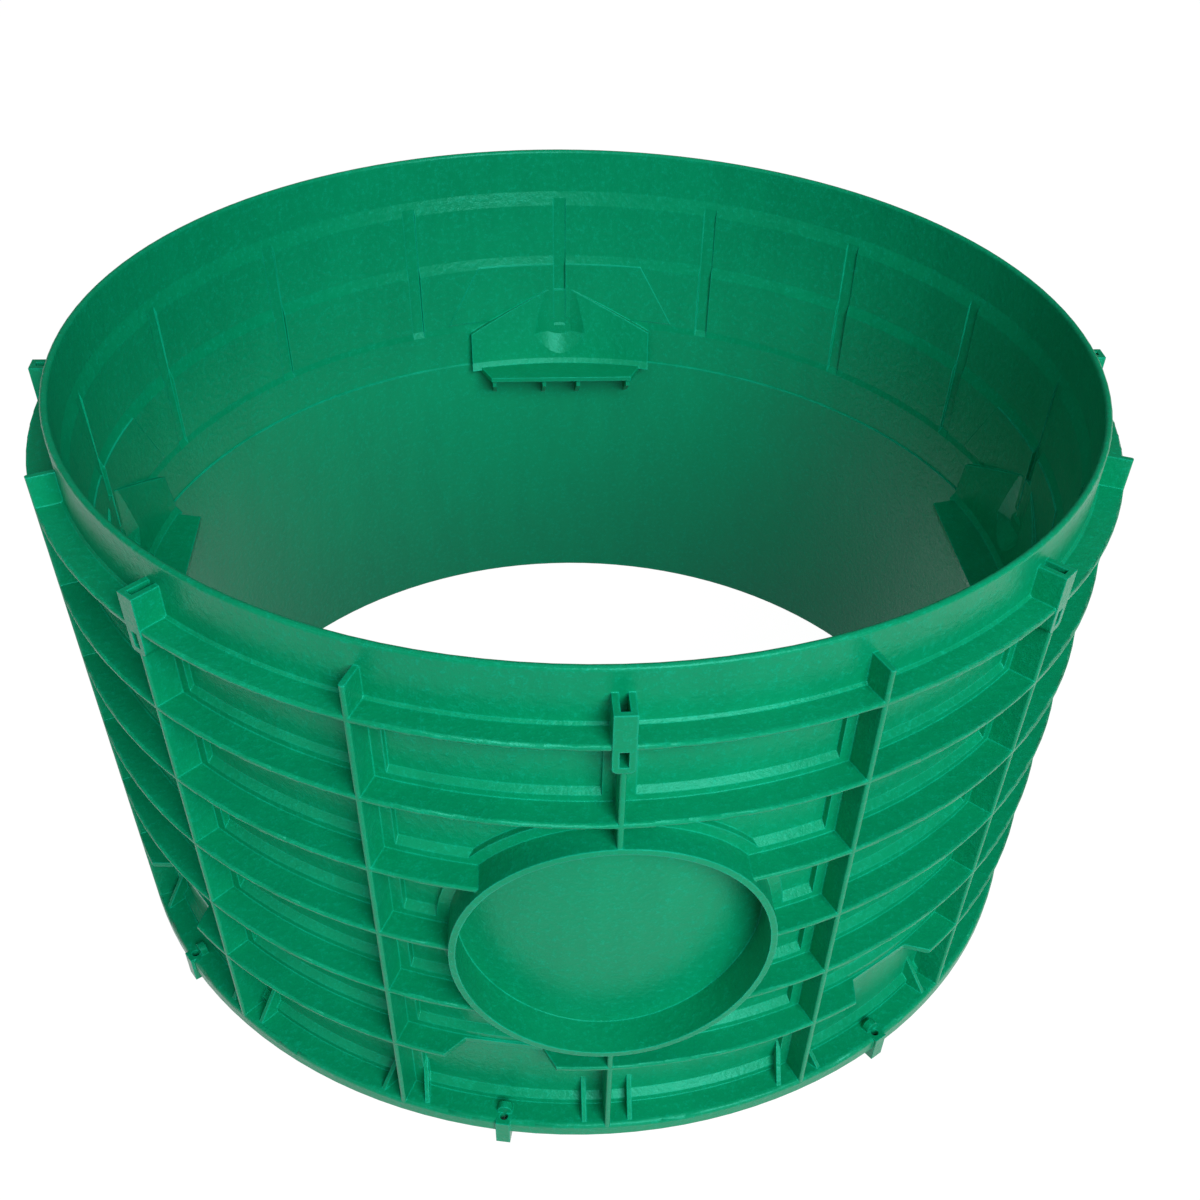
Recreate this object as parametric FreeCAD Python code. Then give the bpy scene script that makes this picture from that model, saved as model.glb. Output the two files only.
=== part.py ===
import FreeCAD, Part
import math
import os

# Septic tank riser: one round plastic ring that stacks on others like it.
# Millimetres, +Z up, origin on the axis at the lower edge of the spigot, pipe port facing -Y.
# Angles are measured about Z from -Y towards +X. Drops are measured down from the top of the rim.

# Heights
stack_height = 304.8          # rim top to flange underside: what one riser adds to a stack
spigot_depth = 14.0           # spigot below the flange, inside the next riser's rim
flange_thickness = 9.0
flange_web = 3.5              # top plate of the flange over its underside channel
first_ring_drop = 27.4        # rim top to the first ring's top face
bottom_cell = 53.4            # last ring's top face to the flange's top face
ring_count = 6
ring_thickness = 3.0
socket_depth = 25.6           # straight part of the socket inside the rim
shelf_drop = 140.7            # top of the inner shelves and last step of the inner wall

# Radii and walls
bore_radius = 254.0
inner_steps = ((25.6, 34.2, 3.3), (67.6, 74.2, 1.6), (112.6, 116.4, 1.0))
# each slope of the inner wall: its upper and lower drop, and the wall outside the bore below it
land_wall = 8.5               # bore to the outer lands between the pockets
pocket_depths = (2.6, 3.2, 3.5, 3.5, 3.5, 3.5)   # one to each cell, from the top
disc_wall = 4.0               # bore to the outside of the knock-out disc
spigot_wall = 3.0
spigot_chamfer = 1.0
socket_clearance = 2.4        # spigot to socket
rim_wall = 3.6
rim_flat = 0.05               # what the two roundings of the rim's lip leave flat
rib_reach = 13.0              # rings, ribs and flange stand out this far from the rim

# Ribs, rings and pockets
rib_count = 16
rib_thickness = 2.8
rib_top_drop = 11.8
nose_radius = 1.2             # rounded outer edges of rings and ribs
root_slope = 1.2              # sloping foot of the rim wall on the first ring
sill_rise = 3.5               # outer edge of a pocket's sloping sill above the ring below it
pocket_end = 7.0              # rib centre to the end of a pocket
flute_half = 4.0              # half width of the shallow flute inside the wall behind a rib
flute_top = (27.0, 4.4)       # its drop and its floor outside the bore, at the top
flute_foot = (112.6, 2.9)     # the same at the foot

# Strap brackets at every second rib
bracket_width = 9.5
bracket_slot = 3.7
bracket_front = 2.6           # front plate
bracket_window = 8.0          # window below the first ring
bracket_floor = 3.0
bracket_proud = 0.5           # front plate in front of the ring noses
bracket_round = 2.5

# Screw lugs, one to each 45 degree sector
sector_count = 8
lug_angle = -11.25
lug_width = 7.4
lug_proud = 1.6               # lug in front of the flange edge
lug_below = 8.0               # lug below the flange underside
lug_hole_radius = 2.1
lug_hole_inset = 3.3          # hole axis behind the flange edge
stop_height = 5.0             # rounded stop behind the screw head
stop_depth = 4.0
stop_flat = 0.3               # half of the flat left on top of the stop
notch_inner_half = 19.3       # screwdriver notch in the last ring
notch_outer_half = 29.2
notch_skin = 1.0              # ring left in front of the land at the notch

# Flange gussets
gusset_offset = 11.8          # gusset centre to rib centre at the flange edge
gusset_thickness = 2.4
gusset_height = 19.8
gusset_inset = 2.6            # gusset's foot behind the flange edge

# Flange edges
flange_round = 2.5
flange_lip = 3.0
flange_seat = 3.0             # solid seat outside the land, over the next riser's rim
lower_edge_round = 0.8

# Pipe port with its knock-out disc
port_drop = 158.6
port_radius = 73.9
port_wall = 3.2
port_land = 5.5               # smooth land round the collar
disc_overlap = 1.0            # how far the collar starts behind the disc's face
port_face_radius = 500.0      # the collar's end is slightly curved
port_proud = 0.3              # collar's end in front of the ring noses

# Inner shelves: angle, half width at the front edge, half width at the wall
shelves = ((180.0, 49.0, 62.0), (90.0, 58.0, 65.0), (-90.0, 58.0, 65.0))
shelf_reach = 29.0            # from the bore to the straight front edge
shelf_thickness = 3.0
shelf_web_places = (-47.0, -12.0, 12.0, 47.0)
shelf_web_thickness = 2.5
shelf_web_front = 5.0
shelf_web_depth = 26.0
shelf_web_setback = 2.5       # webs end this far behind the front edge
shelf_web_overlap = 0.5       # how far a web reaches into the shelf
shelf_root = 4.2              # shelves start inside the wall, this far outside the bore
ramp_height = 49.7            # middle of the sloping back above a shelf
ramp_shoulder = 23.2          # its two ends
ramp_top_half = 9.0
ramp_top_depth = 1.3
ramp_depth = 7.0
ramp_foot = 3.0               # the slope ends this far above the shelf
dent_radius = 30.0            # round dent in the middle of the slope
dent_bite = 0.3
dent_shoulder = 20.0          # its sloping foot starts and ends this far above the shelf
dent_foot = 6.0
dent_foot_radius = 23.0
panel_depth = 0.5             # faint raised panel round the slope
panel_top = (73.0, 55.0)      # its drop and half width at the top
panel_foot = (111.0, 77.0)    # the same at the foot

# Worked out from the sizes above
top = spigot_depth + stack_height
flange_bottom = spigot_depth
flange_top = flange_bottom + flange_thickness
spigot_radius = bore_radius + spigot_wall
socket_radius = spigot_radius + socket_clearance
rim_radius = socket_radius + rim_wall
rib_radius = rim_radius + rib_reach
land_radius = bore_radius + land_wall
disc_radius = bore_radius + disc_wall
pocket_floors = [land_radius - depth for depth in pocket_depths]
shelf_level = top - shelf_drop
ring_pitch = (top - first_ring_drop - bottom_cell - flange_top) / (ring_count - 1)
ring_levels = [top - first_ring_drop - ring_pitch * i for i in range(ring_count)]
rib_top = top - rib_top_drop
bracket_bottom = ring_levels[0] - ring_thickness - bracket_window - bracket_floor
port_level = top - port_drop
rib_step = 360.0 / rib_count
sector_step = 360.0 / sector_count
embed = 1.5                   # how far a feature reaches into the wall that carries it
clear = 5.0                   # how far a cutter runs past what it cuts
pocket_clear = 2.0            # the same for the pockets, which end just above the rings

V = FreeCAD.Vector


def corner_edges(before, corner, after, radius):
    """Tangent points and mid point of an arc that rounds one corner of an outline."""
    one = (before - corner).normalize()
    two = (after - corner).normalize()
    half = one.getAngle(two) / 2
    reach = radius / math.tan(half)
    middle = (one + two).normalize()
    centre = corner + middle * (radius / math.sin(half))
    return corner + one * reach, centre - middle * radius, corner + two * reach


def outline_face(points):
    """Face inside a closed outline. A point is a vector, or a vector with a corner radius."""
    corners = [p if isinstance(p, tuple) else (p, 0.0) for p in points]
    edges = []
    starts = []
    ends = []
    for i, (corner, radius) in enumerate(corners):
        before = corners[i - 1][0]
        after = corners[(i + 1) % len(corners)][0]
        if radius > 0:
            start, middle, end = corner_edges(before, corner, after, radius)
            edges.append(Part.Arc(start, middle, end).toShape())
        else:
            start = end = corner
        starts.append(start)
        ends.append(end)
    for i in range(len(corners)):
        following = starts[(i + 1) % len(corners)]
        if ends[i].distanceToPoint(following) > 1e-6:
            edges.append(Part.makeLine(ends[i], following))
    return Part.Face(Part.Wire(Part.__sortEdges__(edges)))


def turned(points):
    """Solid turned about Z from (radius, height) or (radius, height, corner radius) points."""
    outline = [(V(p[0], 0, p[1]), p[2] if len(p) > 2 else 0.0) for p in points]
    return outline_face(outline).revolve(V(0, 0, 0), V(0, 0, 1), 360)


def drum(radius, low, high):
    return Part.makeCylinder(radius, high - low, V(0, 0, low))


def upright(points, low, high):
    """Prism along Z from (x, y) or (x, y, corner radius) points."""
    outline = [(V(p[0], p[1], low), p[2] if len(p) > 2 else 0.0) for p in points]
    return outline_face(outline).extrude(V(0, 0, high - low))


def crosswise(points, centre_x, thickness):
    """Plate of a given thickness standing along Y, from (distance towards -Y, height) points."""
    outline = [V(centre_x - thickness / 2, -p[0], p[1]) for p in points]
    return outline_face(outline).extrude(V(thickness, 0, 0))


def slab(half_width, near, far, low, high):
    """Box centred on x = 0 that reaches from near to far towards -Y."""
    return Part.makeBox(2 * half_width, far - near, high - low, V(-half_width, -far, low))


def turn_to(shape, angle):
    copy = shape.copy()
    copy.rotate(V(0, 0, 0), V(0, 0, 1), angle)
    return copy


def port_cylinder(radius, near, far):
    return Part.makeCylinder(radius, far - near, V(0, -near, port_level), V(0, -1, 0))


def shell():
    """Wall with the rim, the socket, the flange and the spigot, before its pockets."""
    rim_round = rim_wall / 2 - rim_flat
    lip_inner = rib_radius - flange_lip
    seat_outer = land_radius + flange_seat
    channel_top = flange_top - flange_web
    slope_end = root_slope + embed
    inside = [(bore_radius, 0), (bore_radius, shelf_level)]
    upper = [(socket_radius, top, rim_round)]
    radius = socket_radius
    for start, end, out in inner_steps:
        upper.append((radius, top - start))
        radius = bore_radius + out
        upper.append((radius, top - end))
    upper.append((radius, shelf_level))
    return turned([
        (rim_radius, top, rim_round),
        (rim_radius, ring_levels[0] + root_slope),
        (rim_radius + slope_end, ring_levels[0] - embed),
        (land_radius, ring_levels[0] - embed),
        (land_radius, flange_top),
        (rib_radius, flange_top, flange_round),
        (rib_radius, flange_bottom, lower_edge_round),
        (lip_inner, flange_bottom),
        (lip_inner, channel_top),
        (seat_outer, channel_top),
        (seat_outer, flange_bottom),
        (spigot_radius, flange_bottom),
        (spigot_radius, spigot_chamfer),
        (spigot_radius - spigot_chamfer, 0),
    ] + inside + upper[::-1])


def pocket_ring(floor, sill, roof):
    """All-round cutter of one cell. Its foot slopes up from the land's edge to the floor."""
    outside = land_radius + pocket_clear
    return turned([(floor, roof), (outside, roof), (outside, sill - pocket_clear),
                   (floor, sill + land_radius - floor)])


def pockets():
    """Recesses of the outer wall, between the rings and between the ribs."""
    port_keep = port_cylinder(port_radius + port_land, 0, rib_radius + clear)
    cutters = []
    for cell in range(ring_count):
        last = cell == ring_count - 1
        sill = (flange_top if last else ring_levels[cell + 1]) + sill_rise
        roof = ring_levels[cell] - ring_thickness
        bar = slab(pocket_end, bore_radius, rib_radius, sill - clear, roof + clear)
        keeps = [port_keep]
        for rib in range(rib_count):
            if not (last and rib % 2 == 0):
                keeps.append(turn_to(bar, rib * rib_step))
        cutters.append(pocket_ring(pocket_floors[cell], sill, roof).cut(keeps))
    return cutters


def panel():
    """Faint raised panel of the inner wall round a shelf's sloping back."""
    face = bore_radius + inner_steps[1][2] - panel_depth
    high, low = top - panel_top[0], top - panel_foot[0]
    band = turned([(face, low), (face + embed, low), (face + embed, high), (face, high)])
    mask = outline_face([V(-panel_foot[1], 0, low), V(panel_foot[1], 0, low),
                         V(panel_top[1], 0, high), V(-panel_top[1], 0, high)])
    return band.common(mask.extrude(V(0, -rib_radius, 0)))


def flutes():
    """Shallow flutes inside the upper wall, behind the ribs. They stop at the port."""
    inside = bore_radius - clear
    drop, out = flute_top
    foot_drop, foot_out = flute_foot
    end_drop, end_out = inner_steps[2][1:]
    flute = crosswise([
        (inside, top - drop),
        (bore_radius + out, top - drop),
        (bore_radius + foot_out, top - foot_drop),
        (bore_radius + end_out, top - end_drop),
        (inside, top - end_drop),
    ], 0, 2 * flute_half)
    port_keep = port_cylinder(port_radius + port_land, 0, rib_radius)
    return [turn_to(flute, rib * rib_step).cut(port_keep) for rib in range(rib_count)]


def ring(level):
    low = level - ring_thickness
    return turned([
        (land_radius - embed, low),
        (rib_radius, low, nose_radius),
        (rib_radius, level, nose_radius),
        (land_radius - embed, level),
    ])


def notch():
    """Screwdriver clearance in the last ring, in front of one lug."""
    near = land_radius + notch_skin
    far = rib_radius + clear
    spread = (notch_outer_half - notch_inner_half) / (rib_radius - near)
    wide = notch_inner_half + spread * (far - near)
    low = ring_levels[-1] - ring_thickness - clear
    return upright([(-notch_inner_half, -near), (notch_inner_half, -near),
                    (wide, -far), (-wide, -far)], low, ring_levels[-1] + clear)


def rings():
    made = [ring(level) for level in ring_levels]
    notches = [turn_to(notch(), lug_angle + i * sector_step) for i in range(sector_count)]
    made[-1] = made[-1].cut(notches)
    return made


def rib(high):
    """One rib. Its root is deeper in the last cell, where half of the ribs stand in a pocket."""
    half = rib_thickness / 2
    deep_root = pocket_floors[-1] - embed
    land_root = land_radius - embed / 2
    whole = upright([(-half, -deep_root), (half, -deep_root),
                     (half, -rib_radius, nose_radius), (-half, -rib_radius, nose_radius)],
                    flange_top - embed, high)
    return whole.cut(slab(rib_thickness, deep_root - clear, land_root, ring_levels[-1] - embed, top))


def ribs():
    made = []
    for i in range(rib_count):
        under_bracket = i % 2 == 0
        high = bracket_bottom + bracket_floor if under_bracket else rib_top
        made.append(turn_to(rib(high), i * rib_step))
    return made


def bracket():
    """Hollow strap bracket: two side plates, a front plate, a floor and a window under the ring."""
    half = bracket_width / 2
    front = rib_radius + bracket_proud
    near = rim_radius - embed
    return outline_face([
        (V(-half, -near, bracket_bottom), bracket_round),
        (V(half, -near, bracket_bottom), bracket_round),
        V(half, -near, rib_top),
        V(-half, -near, rib_top),
    ]).extrude(V(0, near - front, 0))


def bracket_hollow():
    front = rib_radius + bracket_proud
    floor = bracket_bottom + bracket_floor
    slot = slab(bracket_slot / 2, rim_radius, front - bracket_front, floor, rib_top + clear)
    window_top = floor + bracket_window
    window = slab(bracket_slot / 2, rim_radius, front + clear, floor, window_top)
    return slot.fuse(window)


def lug():
    """Tab below the flange edge, with a rounded stop behind the screw's head."""
    front = rib_radius + lug_proud
    half = lug_width / 2
    near = rib_radius - lug_hole_inset - lug_hole_radius - stop_depth
    tab = slab(half, near + embed, front, flange_bottom - lug_below, flange_top)
    stop_round = half - stop_flat
    stop = outline_face([
        V(-half, -near, flange_top - embed),
        V(half, -near, flange_top - embed),
        (V(half, -near, flange_top + stop_height), stop_round),
        (V(-half, -near, flange_top + stop_height), stop_round),
    ]).extrude(V(0, -stop_depth, 0))
    return tab.fuse(stop)


def lug_hole():
    axis_y = -(rib_radius - lug_hole_inset)
    low = flange_bottom - lug_below - clear
    return Part.makeCylinder(lug_hole_radius, flange_top + clear - low, V(0, axis_y, low))


def gusset(offset):
    """Sloping plate on the flange. It stands along the draw direction of its sector."""
    def along(radius):
        return math.sqrt(radius ** 2 - offset ** 2)
    root = along(pocket_floors[-1] - embed)
    wall = along(pocket_floors[-1])
    foot = along(rib_radius - gusset_inset)
    high = flange_top + gusset_height
    return crosswise([(root, flange_top - embed), (root, high), (wall, high),
                      (foot, flange_top), (foot, flange_top - embed)], offset, gusset_thickness)


def gussets():
    edge = (rib_radius - gusset_inset) * math.sin(math.radians(sector_step / 2))
    offsets = (-edge + gusset_offset, -gusset_offset, gusset_offset, edge - gusset_offset)
    return [turn_to(gusset(x), i * sector_step) for i in range(sector_count) for x in offsets]


def port_collar():
    face = rib_radius + port_proud
    tube = port_cylinder(port_radius, 0, face + clear)
    tube = tube.cut(port_cylinder(port_radius - port_wall, 0, face + clear))
    tube = tube.cut(drum(disc_radius - disc_overlap, 0, top))
    end = Part.makeCylinder(port_face_radius, top, V(0, port_face_radius - face, 0))
    return tube.common(end)


def port_hollow():
    """Everything inside the collar, out to the knock-out disc in the wall."""
    hollow = port_cylinder(port_radius - port_wall, 0, rib_radius + 2 * clear)
    return hollow.cut(drum(disc_radius, 0, top))


def shelf(front_half, back_half):
    front = bore_radius - shelf_reach
    root = bore_radius + shelf_root
    low = shelf_level - shelf_thickness
    plate = upright([(-front_half, -front), (-back_half, -bore_radius), (-back_half, -root),
                     (back_half, -root), (back_half, -bore_radius), (front_half, -front)],
                    low, shelf_level)
    web_front = front + shelf_web_setback
    web_top = low + shelf_web_overlap
    webs = [crosswise([(web_front, web_top), (root, web_top), (root, low - shelf_web_depth),
                       (web_front, low - shelf_web_front)], x, shelf_web_thickness)
            for x in shelf_web_places]
    return plate.multiFuse(webs + [ramp(back_half, root)]).common(drum(root, 0, top))


def ramp(back_half, root):
    """Sloping back above a shelf, highest in the middle, where it is dented."""
    low = shelf_level - embed
    high = shelf_level + ramp_height
    wall = bore_radius + inner_steps[1][2]
    slope = turned([(root + clear, low), (root + clear, high), (wall - ramp_top_depth, high),
                    (wall - ramp_depth, shelf_level + ramp_foot),
                    (wall - ramp_depth - ramp_foot, low)])
    shoulder = shelf_level + ramp_shoulder
    mask = outline_face([V(-back_half, 0, low), V(back_half, 0, low), V(back_half, 0, shoulder),
                         V(ramp_top_half, 0, high), V(-ramp_top_half, 0, high),
                         V(-back_half, 0, shoulder)]).extrude(V(0, -root - clear, 0))
    centre = wall + dent_bite - dent_radius
    shoulder = shelf_level + dent_shoulder
    foot = shelf_level + dent_foot
    dent = Part.makeCylinder(dent_radius, high + clear - shoulder, V(0, -centre, shoulder))
    dent_end = Part.makeCone(dent_foot_radius, dent_radius, shoulder - foot, V(0, -centre, foot))
    return slope.common(mask).cut([dent, dent_end])


def riser():
    sectors = [i * sector_step for i in range(sector_count)]
    body = shell().cut(pockets())
    body = body.multiFuse([turn_to(panel(), angle) for angle, front, back in shelves])
    body = body.cut(flutes())
    body = body.multiFuse(rings()).multiFuse(ribs())
    brackets = [turn_to(bracket(), angle) for angle in sectors]
    lugs = [turn_to(lug(), lug_angle + angle) for angle in sectors]
    body = body.multiFuse(gussets() + lugs + brackets)
    hollows = [turn_to(bracket_hollow(), angle) for angle in sectors]
    holes = [turn_to(lug_hole(), lug_angle + angle) for angle in sectors]
    body = body.cut(hollows + holes)
    body = body.fuse(port_collar()).cut(port_hollow())
    return body.multiFuse([turn_to(shelf(front, back), angle) for angle, front, back in shelves])


def main():
    os.makedirs("parts", exist_ok=True)
    body = riser()
    solids = body.Solids
    print("solids", len(solids), "valid", body.isValid(), "faces", len(body.Faces))
    print("volume cm3", round(body.Volume / 1000, 1), "box", body.BoundBox)
    solids[0].exportStep("parts/riser.step")


main()
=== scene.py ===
"""Septic tank riser: finish of the moulded ring, plain stage, soft light and camera."""

import math

import bmesh
import bpy
from mathutils import Matrix, Vector


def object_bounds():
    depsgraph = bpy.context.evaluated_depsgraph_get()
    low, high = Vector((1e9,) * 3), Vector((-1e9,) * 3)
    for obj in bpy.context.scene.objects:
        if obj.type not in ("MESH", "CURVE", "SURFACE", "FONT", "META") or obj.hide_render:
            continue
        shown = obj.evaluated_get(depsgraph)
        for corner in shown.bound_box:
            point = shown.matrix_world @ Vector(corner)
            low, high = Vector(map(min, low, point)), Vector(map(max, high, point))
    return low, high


bl_info = {
    "name": "Septic Tank Riser",
    "version": (1, 0, 0),
    "blender": (4, 5, 0),
    "location": "3D View > Sidebar > Riser",
    "description": "Moulded green finish, stage, lights and camera for a stackable septic tank riser",
    "category": "Object",
}

NODE = "riser"

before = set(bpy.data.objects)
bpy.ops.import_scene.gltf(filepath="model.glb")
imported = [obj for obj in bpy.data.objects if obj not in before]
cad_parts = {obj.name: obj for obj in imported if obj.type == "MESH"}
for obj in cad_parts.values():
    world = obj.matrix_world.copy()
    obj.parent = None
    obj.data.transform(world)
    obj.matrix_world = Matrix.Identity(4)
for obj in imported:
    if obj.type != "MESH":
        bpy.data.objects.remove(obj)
CAD_LOW, CAD_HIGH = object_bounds()
RING_TOP = CAD_HIGH.z
RING_MIDDLE = Vector((0, 0, (CAD_LOW.z + CAD_HIGH.z) / 2))

# Texture of the moulding, and the painted highlight along its edges
PATCH_SCALE = 7.0             # broad patches of the melt, per metre
STREAK_SCALE = 60.0           # flow streaks, per metre
STREAK_STRETCH = 0.25         # drawn out along the ring's height
PATCH_OCTAVES, STREAK_OCTAVES = (3, 0.5), (3, 0.6)     # octaves and how strong each finer one is
PEBBLE_OCTAVES, GRAIN_OCTAVES = (3, 0.55), (2, 0.6)
PATCH_SHARE = 0.55            # share of the patches in the tone, the rest being streaks
TONE_RANGE = (0.38, 0.62)
TIP_RANGE = (0.26, 0.42)      # grain that stands out far enough to be rubbed pale
TIP_WEAR = 0.35
# Painted highlight: the edges are painted paler mint in place of the light their roundings catch
STREAK_HIGHLIGHT = (0.35, 0.6)     # streaks vary how strong the painted edge highlight is
EDGE_HIGHLIGHT = (0.35, 0.8)
EDGE_SPREAD = 2.2             # width of the painted edge highlight over the edge radius
EDGE_TURN = (0.995, 0.80)     # how far the rounded normal turns from an open face to an edge
GLOSS_RANGE = (0.7, 1.3)
GLOSS_SPREAD = (-0.06, 0.10)
PEBBLE_DEPTH, PEBBLE_STRENGTH = 0.16, 0.6
GRAIN_DEPTH, GRAIN_STRENGTH = 0.14, 0.5
EDGE_SAMPLES = 6
PLASTIC_IOR = 1.49

# Lamps: place and side in metres
KEY_PLACE, KEY_SIDE = (0.75, -2.1, 1.6), 1.4
FILL_PLACE, FILL_SIDE = (-1.7, -1.4, 1.5), 1.4
TOP_PLACE, TOP_SIDE = (0.0, 0.3, 2.4), 1.6


# Settings

class RiserFinish(bpy.types.PropertyGroup):
    """Colours and texture sizes of the moulded polypropylene."""

    plastic_colour: bpy.props.FloatVectorProperty(
        name="Plastic colour", description="Main colour of the moulded ring",
        subtype="COLOR", size=3, min=0, max=1, default=(0.001, 0.340, 0.150))
    deep_colour: bpy.props.FloatVectorProperty(
        name="Deep colour", description="Colour of the slightly denser patches of the moulding",
        subtype="COLOR", size=3, min=0, max=1, default=(0.001, 0.295, 0.128))
    # Paler mint for the grain tips and for the painted edge highlight, which stands in for light caught by
    # the rounded edges
    grain_and_edge_highlight_colour: bpy.props.FloatVectorProperty(
        name="Worn colour", description="Paler colour of rubbed edges and grain tips",
        subtype="COLOR", size=3, min=0, max=1, default=(0.004, 0.560, 0.350))
    gloss_tint: bpy.props.FloatVectorProperty(
        name="Gloss tint", description="Tint of the plastic's own reflections",
        subtype="COLOR", size=3, min=0, max=1, default=(0.18, 1.0, 0.85))
    roughness: bpy.props.FloatProperty(
        name="Roughness", description="Roughness of the moulded skin",
        min=0, max=1, default=0.34)
    grain_size: bpy.props.FloatProperty(
        name="Grain size", description="Size of the fine grain of the mould",
        subtype="DISTANCE", unit="LENGTH", min=0.0002, max=0.01, default=0.0009)
    pebble_size: bpy.props.FloatProperty(
        name="Pebble size", description="Size of the coarser texture on the walls",
        subtype="DISTANCE", unit="LENGTH", min=0.001, max=0.02, default=0.0030)
    edge_radius: bpy.props.FloatProperty(
        name="Edge radius", description="Rounding that softens the moulding's small edges",
        subtype="DISTANCE", unit="LENGTH", min=0.0001, max=0.005, default=0.0007)


class RiserStage(bpy.types.PropertyGroup):
    """Floor, lamps and camera."""

    floor_size: bpy.props.FloatProperty(
        name="Floor size", description="Side of the square floor",
        subtype="DISTANCE", unit="LENGTH", min=2, max=60, default=24)
    floor_colour: bpy.props.FloatVectorProperty(
        name="Floor colour", description="Colour of the plain floor",
        subtype="COLOR", size=3, min=0, max=1, default=(0.12, 0.12, 0.12))
    floor_lift: bpy.props.FloatProperty(
        name="Floor lift", description="Light added to the floor where the camera or a reflection sees it",
        min=0, max=2, default=0.98)
    dome_strength: bpy.props.FloatProperty(
        name="Dome strength", description="Even light from all round",
        min=0, max=5, default=0.07)
    key_power: bpy.props.FloatProperty(
        name="Key power", description="Power of the large lamp in front, to the right",
        unit="POWER", min=0, max=500, default=60)
    fill_power: bpy.props.FloatProperty(
        name="Fill power", description="Power of the large lamp in front, to the left",
        unit="POWER", min=0, max=500, default=6)
    top_power: bpy.props.FloatProperty(
        name="Top power", description="Power of the large lamp overhead",
        unit="POWER", min=0, max=500, default=5)
    camera_distance: bpy.props.FloatProperty(
        name="Camera distance", description="Level distance from the ring's axis to the camera",
        subtype="DISTANCE", unit="LENGTH", min=0.3, max=10, default=0.6419)
    camera_rise: bpy.props.FloatProperty(
        name="Camera rise", description="Height of the camera above the rim",
        subtype="DISTANCE", unit="LENGTH", min=0, max=10, default=0.3149)
    camera_side: bpy.props.FloatProperty(
        name="Camera side", description="Angle round the axis from the pipe port to the camera",
        subtype="ANGLE", unit="ROTATION", min=-math.pi, max=math.pi, default=math.radians(-3.695))
    camera_pitch: bpy.props.FloatProperty(
        name="Camera pitch", description="Angle that the camera looks down",
        subtype="ANGLE", unit="ROTATION", min=-math.pi / 2, max=math.pi / 2, default=math.radians(44.479))
    camera_yaw: bpy.props.FloatProperty(
        name="Camera yaw", description="Angle that the camera looks past the axis",
        subtype="ANGLE", unit="ROTATION", min=-math.pi, max=math.pi, default=math.radians(2.175))
    camera_roll: bpy.props.FloatProperty(
        name="Camera roll", description="Tilt of the camera about its own line of sight",
        subtype="ANGLE", unit="ROTATION", min=-math.pi, max=math.pi, default=math.radians(2.228))
    lens: bpy.props.FloatProperty(
        name="Lens", description="Focal length on a 36 mm sensor",
        subtype="DISTANCE_CAMERA", unit="CAMERA", min=10, max=200, default=39.99)
    shift_x: bpy.props.FloatProperty(
        name="Shift X", description="Sideways shift of the frame", min=-0.5, max=0.5, default=-0.0111)
    shift_y: bpy.props.FloatProperty(
        name="Shift Y", description="Upward shift of the frame", min=-0.5, max=0.5, default=0.15)


# Node helpers

class Graph:
    """Adds and joins the nodes of one material or world."""

    def __init__(self, owner):
        owner.use_nodes = True
        self.tree = owner.node_tree
        self.tree.nodes.clear()

    def add(self, kind, links=None, **settings):
        node = self.tree.nodes.new(kind)
        for name, value in settings.items():
            setattr(node, name, value)
        for name, value in (links or {}).items():
            self.feed(node, name, value)
        return node

    def feed(self, node, name, value):
        socket = node.inputs[name]
        if isinstance(value, bpy.types.NodeSocket):
            self.tree.links.new(value, socket)
        elif hasattr(socket.default_value, "__len__") and len(socket.default_value) == 4 and len(value) == 3:
            socket.default_value = (*value, 1.0)
        else:
            socket.default_value = value

    def noise(self, vector, scale, detail, roughness):
        node = self.add("ShaderNodeTexNoise", {"Vector": vector, "Scale": scale, "Detail": detail,
                                               "Roughness": roughness})
        return node.outputs["Fac"]

    def maths(self, operation, first, second):
        node = self.add("ShaderNodeMath", operation=operation)
        self.feed(node, 0, first)
        self.feed(node, 1, second)
        return node.outputs["Value"]

    def remap(self, value, low, high, to_low=0.0, to_high=1.0):
        node = self.add("ShaderNodeMapRange", {"Value": value, "From Min": low, "From Max": high,
                                               "To Min": to_low, "To Max": to_high})
        return node.outputs["Result"]

    def blend(self, factor, first, second):
        node = self.add("ShaderNodeMix", data_type="RGBA")
        self.feed(node, "Factor", factor)
        for socket, value in ((node.inputs[6], first), (node.inputs[7], second)):
            if isinstance(value, bpy.types.NodeSocket):
                self.tree.links.new(value, socket)
            else:
                socket.default_value = (*value, 1.0)
        return node.outputs[2]

    def bump(self, height, depth, strength, normal):
        node = self.add("ShaderNodeBump", {"Height": height, "Distance": depth, "Strength": strength,
                                           "Normal": normal})
        return node.outputs["Normal"]

    def rounded_normal(self, radius):
        node = self.add("ShaderNodeBevel", {"Radius": radius}, samples=EDGE_SAMPLES)
        return node.outputs["Normal"]


# Material

def edge_mask(graph, radius):
    """1 along the moulding's edges, 0 on its open faces."""
    rounded = graph.rounded_normal(radius)
    plain = graph.add("ShaderNodeNewGeometry").outputs["Normal"]
    dot = graph.add("ShaderNodeVectorMath", operation="DOT_PRODUCT")
    graph.feed(dot, 0, rounded)
    graph.feed(dot, 1, plain)
    return graph.remap(dot.outputs["Value"], *EDGE_TURN)


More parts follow.
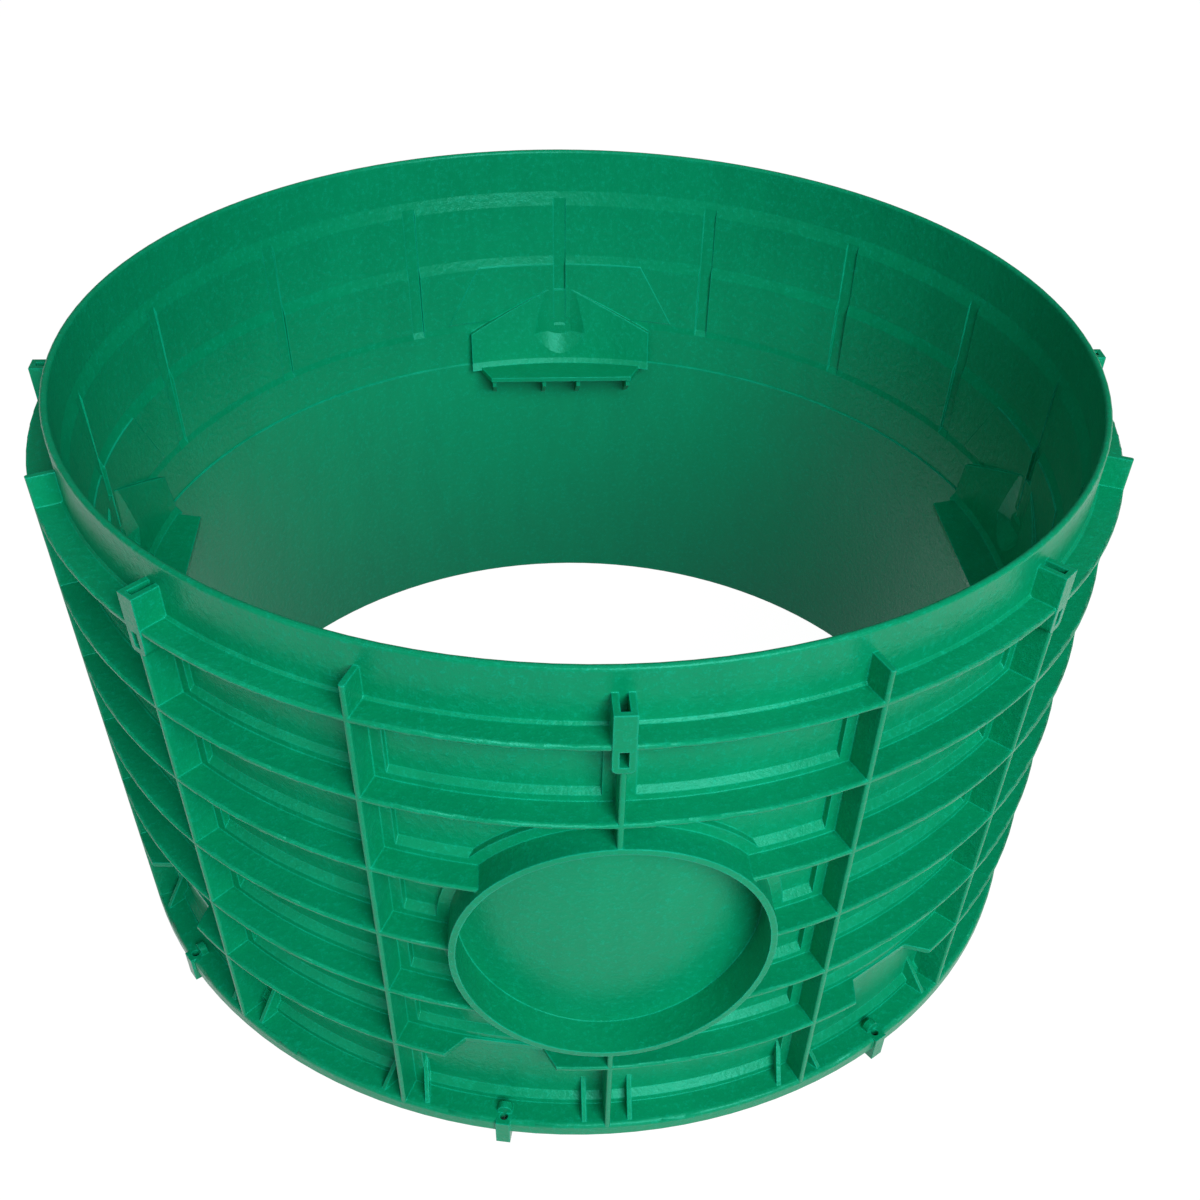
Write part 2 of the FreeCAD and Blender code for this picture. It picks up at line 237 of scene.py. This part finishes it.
def moulded_plastic(finish):
    """Grained green polypropylene with flow patches, a painted highlight along the edges and a soft gloss.
    """
    material = bpy.data.materials.new("green_polypropylene")
    graph = Graph(material)
    place = graph.add("ShaderNodeTexCoord").outputs["Object"]

    drawn = graph.add("ShaderNodeMapping", {"Vector": place, "Scale": (1.0, 1.0, STREAK_STRETCH)})
    patches = graph.noise(place, PATCH_SCALE, *PATCH_OCTAVES)
    streaks = graph.noise(drawn.outputs["Vector"], STREAK_SCALE, *STREAK_OCTAVES)
    pebble = graph.noise(place, 1.0 / finish.pebble_size, *PEBBLE_OCTAVES)
    grain = graph.noise(place, 1.0 / finish.grain_size, *GRAIN_OCTAVES)
    edges = edge_mask(graph, finish.edge_radius * EDGE_SPREAD)

    tone = graph.maths("ADD", graph.maths("MULTIPLY", patches, PATCH_SHARE),
                       graph.maths("MULTIPLY", streaks, 1.0 - PATCH_SHARE))
    body = graph.blend(graph.remap(tone, *TONE_RANGE), finish.deep_colour, finish.plastic_colour)
    tips = graph.remap(graph.maths("MULTIPLY", pebble, grain), *TIP_RANGE, 0.0, TIP_WEAR)
    body = graph.blend(tips, body, finish.grain_and_edge_highlight_colour)
    # Painted highlight: the edges are painted paler mint where light would catch their roundings, varied by
    # the streaks
    edge_highlight = graph.maths("MULTIPLY", edges, graph.remap(streaks, *STREAK_HIGHLIGHT, *EDGE_HIGHLIGHT))
    colour = graph.blend(edge_highlight, body, finish.grain_and_edge_highlight_colour)

    low_gloss, high_gloss = (finish.roughness + spread for spread in GLOSS_SPREAD)
    roughness = graph.remap(graph.maths("ADD", pebble, patches), *GLOSS_RANGE, low_gloss, high_gloss)
    rounded = graph.rounded_normal(finish.edge_radius)
    pebbled = graph.bump(pebble, finish.pebble_size * PEBBLE_DEPTH, PEBBLE_STRENGTH, rounded)
    grained = graph.bump(grain, finish.grain_size * GRAIN_DEPTH, GRAIN_STRENGTH, pebbled)

    shader = graph.add("ShaderNodeBsdfPrincipled", {
        "Base Color": colour, "Roughness": roughness, "IOR": PLASTIC_IOR,
        "Specular Tint": finish.gloss_tint, "Normal": grained,
    })
    graph.add("ShaderNodeOutputMaterial", {"Surface": shader.outputs["BSDF"]})
    return material


def floor_paint(stage):
    """Plain floor that throws little light back. The camera and reflections see it lifted to white."""
    material = bpy.data.materials.new("floor_paint")
    graph = Graph(material)
    seen = graph.add("ShaderNodeLightPath").outputs
    direct = graph.maths("MAXIMUM", seen["Is Camera Ray"], seen["Is Glossy Ray"])
    direct = graph.maths("MAXIMUM", direct, seen["Is Transmission Ray"])
    matt = graph.add("ShaderNodeBsdfDiffuse", {"Color": stage.floor_colour})
    lift = graph.add("ShaderNodeEmission", {
        "Color": (1.0, 1.0, 1.0), "Strength": graph.maths("MULTIPLY", direct, stage.floor_lift)})
    both = graph.add("ShaderNodeAddShader")
    graph.tree.links.new(matt.outputs[0], both.inputs[0])
    graph.tree.links.new(lift.outputs[0], both.inputs[1])
    graph.add("ShaderNodeOutputMaterial", {"Surface": both.outputs[0]})
    return material


# Stage

def link_object(name, data):
    made = bpy.data.objects.new(name, data)
    bpy.context.scene.collection.objects.link(made)
    return made


def make_floor(stage):
    mesh = bpy.data.meshes.new("floor")
    shape = bmesh.new()
    bmesh.ops.create_grid(shape, x_segments=1, y_segments=1, size=stage.floor_size / 2)
    bmesh.ops.translate(shape, vec=(0, 0, CAD_LOW.z), verts=shape.verts)
    shape.to_mesh(mesh)
    shape.free()
    mesh.materials.append(floor_paint(stage))
    floor = link_object("floor", mesh)


def make_dome(stage):
    world = bpy.data.worlds.new("dome")
    bpy.context.scene.world = world
    graph = Graph(world)
    seen = graph.add("ShaderNodeLightPath").outputs
    direct = graph.maths("MAXIMUM", seen["Is Camera Ray"], seen["Is Transmission Ray"])
    strength = graph.remap(direct, 0.0, 1.0, stage.dome_strength, 1.0)
    sky = graph.add("ShaderNodeBackground", {"Color": (1.0, 1.0, 1.0), "Strength": strength})
    graph.add("ShaderNodeOutputWorld", {"Surface": sky.outputs[0]})


def make_lamp(name, place, side, power):
    data = bpy.data.lights.new(name, "AREA")
    data.shape = "SQUARE"
    data.size = side
    data.energy = power
    lamp = link_object(name, data)
    lamp.location = place
    lamp.rotation_euler = (RING_MIDDLE - Vector(place)).to_track_quat("-Z", "Y").to_euler()


def make_lamps(stage):
    make_lamp("key_lamp", KEY_PLACE, KEY_SIDE, stage.key_power)
    make_lamp("fill_lamp", FILL_PLACE, FILL_SIDE, stage.fill_power)
    make_lamp("top_lamp", TOP_PLACE, TOP_SIDE, stage.top_power)


def make_camera(stage):
    """Camera in front of the pipe port, above the rim, looking down into the ring."""
    pitch, yaw, roll = stage.camera_pitch, stage.camera_yaw, stage.camera_roll
    ahead = Vector((math.sin(yaw) * math.cos(pitch), math.cos(yaw) * math.cos(pitch), -math.sin(pitch)))
    level = Vector((math.cos(yaw), -math.sin(yaw), 0))
    over = level.cross(ahead)
    right = math.cos(roll) * level + math.sin(roll) * over
    up = math.cos(roll) * over - math.sin(roll) * level
    aim = Matrix((right, up, -ahead)).transposed().to_4x4()
    place = Matrix.Translation((0, -stage.camera_distance, RING_TOP + stage.camera_rise))
    data = bpy.data.cameras.new("camera")
    data.lens = stage.lens
    data.shift_x = stage.shift_x
    data.shift_y = stage.shift_y
    camera = link_object("camera", data)
    camera.matrix_world = Matrix.Rotation(stage.camera_side, 4, "Z") @ place @ aim
    bpy.context.scene.camera = camera


# Operators

class RISER_OT_finish_ring(bpy.types.Operator):
    """Give the moulded ring its grained green plastic."""

    bl_idname = "riser.finish_ring"
    bl_label = "Finish Ring"

    def execute(self, context):
        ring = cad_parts[NODE]
        material = moulded_plastic(context.scene.riser_finish)
        ring.data.materials.clear()
        ring.data.materials.append(material)
        return {"FINISHED"}


class RISER_OT_build_stage(bpy.types.Operator):
    """Set up the floor, the soft light and the camera."""

    bl_idname = "riser.build_stage"
    bl_label = "Build Stage"

    def execute(self, context):
        stage = context.scene.riser_stage
        make_floor(stage)
        make_dome(stage)
        make_lamps(stage)
        make_camera(stage)
        context.scene.view_settings.view_transform = "Standard"
        return {"FINISHED"}


class RISER_PT_sidebar(bpy.types.Panel):
    """Sidebar panel of the riser."""

    bl_idname = "RISER_PT_sidebar"
    bl_label = "Septic Tank Riser"
    bl_space_type = "VIEW_3D"
    bl_region_type = "UI"
    bl_category = "Riser"

    def draw(self, context):
        column = self.layout.column(align=True)
        for operator in OPERATORS:
            column.operator(operator.bl_idname)
        for settings in (context.scene.riser_finish, context.scene.riser_stage):
            box = self.layout.box()
            for name in settings.bl_rna.properties.keys():
                if name not in ("rna_type", "name"):
                    box.prop(settings, name)


OPERATORS = (RISER_OT_finish_ring, RISER_OT_build_stage)
CLASSES = (RiserFinish, RiserStage, *OPERATORS, RISER_PT_sidebar)


def register():
    for made in CLASSES:
        bpy.utils.register_class(made)
    bpy.types.Scene.riser_finish = bpy.props.PointerProperty(type=RiserFinish)
    bpy.types.Scene.riser_stage = bpy.props.PointerProperty(type=RiserStage)


def unregister():
    del bpy.types.Scene.riser_stage
    del bpy.types.Scene.riser_finish
    for made in reversed(CLASSES):
        bpy.utils.unregister_class(made)


def main():
    register()
    bpy.ops.riser.finish_ring()
    bpy.ops.riser.build_stage()


if __name__ == "__main__":
    main()
